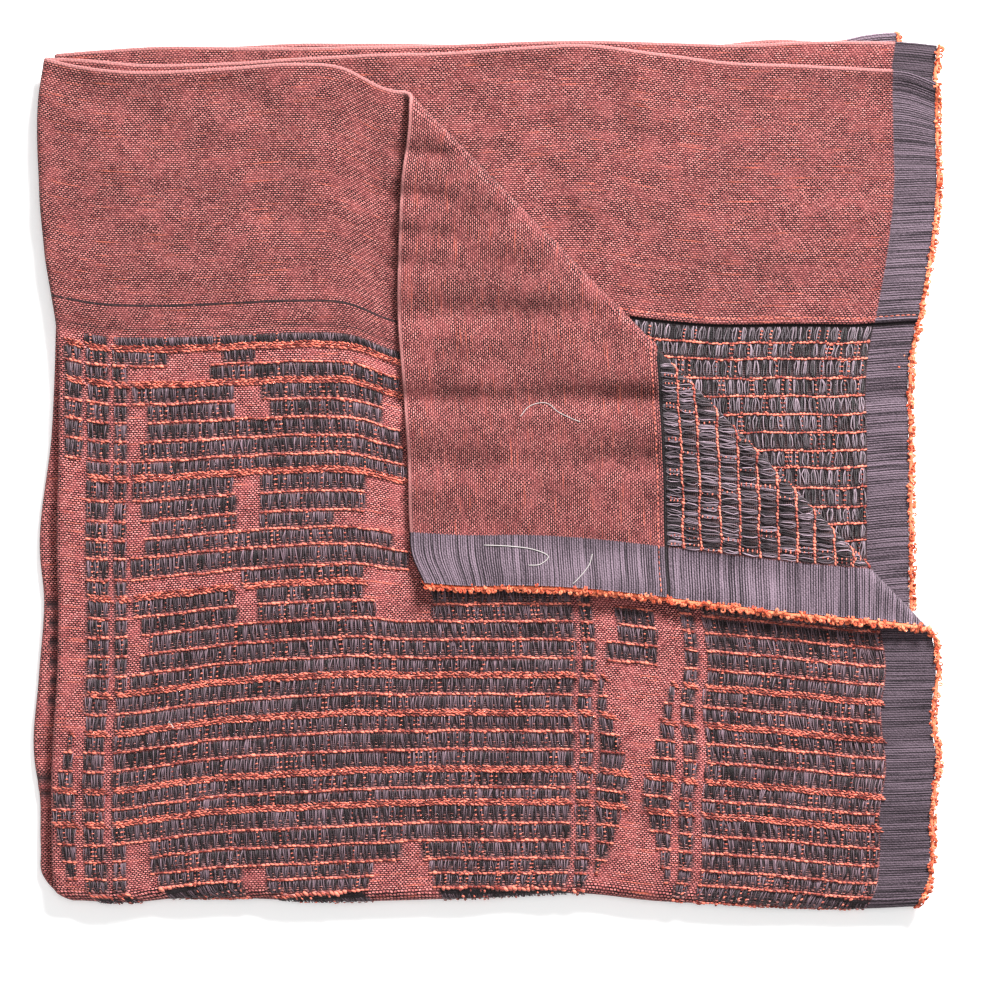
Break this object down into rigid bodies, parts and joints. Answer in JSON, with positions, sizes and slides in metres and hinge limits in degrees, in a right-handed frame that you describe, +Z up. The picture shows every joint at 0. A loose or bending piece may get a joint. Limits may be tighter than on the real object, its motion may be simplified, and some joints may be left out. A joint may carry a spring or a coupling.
{
  "type": "folded woven cloth",
  "caption": "Large loom-woven cloth folded flat into a square pack with one top corner turned back, ribbed float pattern, plain hems, banded selvedges with looped edging yarn",
  "frame": {"origin": "On the surface that the folded cloth rests on, below the middle of the pack", "axes": "+Z up; +Y towards the hemmed ends, away from the bottom fold; +X towards the selvedges, away from the left fold"},
  "size_m": [0.4573, 0.4406, 0.0186],
  "materials": {
    "cloth": "rust-red plain weave with charcoal-plum yarn floats between raised coral ribs, matt cotton",
    "edging_yarn": "bright orange looped yarn, matt and fuzzy"
  },
  "bodies": {
    "root": {"cloth": "cloth", "loops_top": "edging_yarn", "loops_corner": "edging_yarn", "loops_second_near": "edging_yarn", "loops_second_far": "edging_yarn", "loops_third_near": "edging_yarn", "loops_third_far": "edging_yarn", "loops_bottom_near": "edging_yarn", "loops_bottom_far": "edging_yarn"}
  },
  "joints": []
}
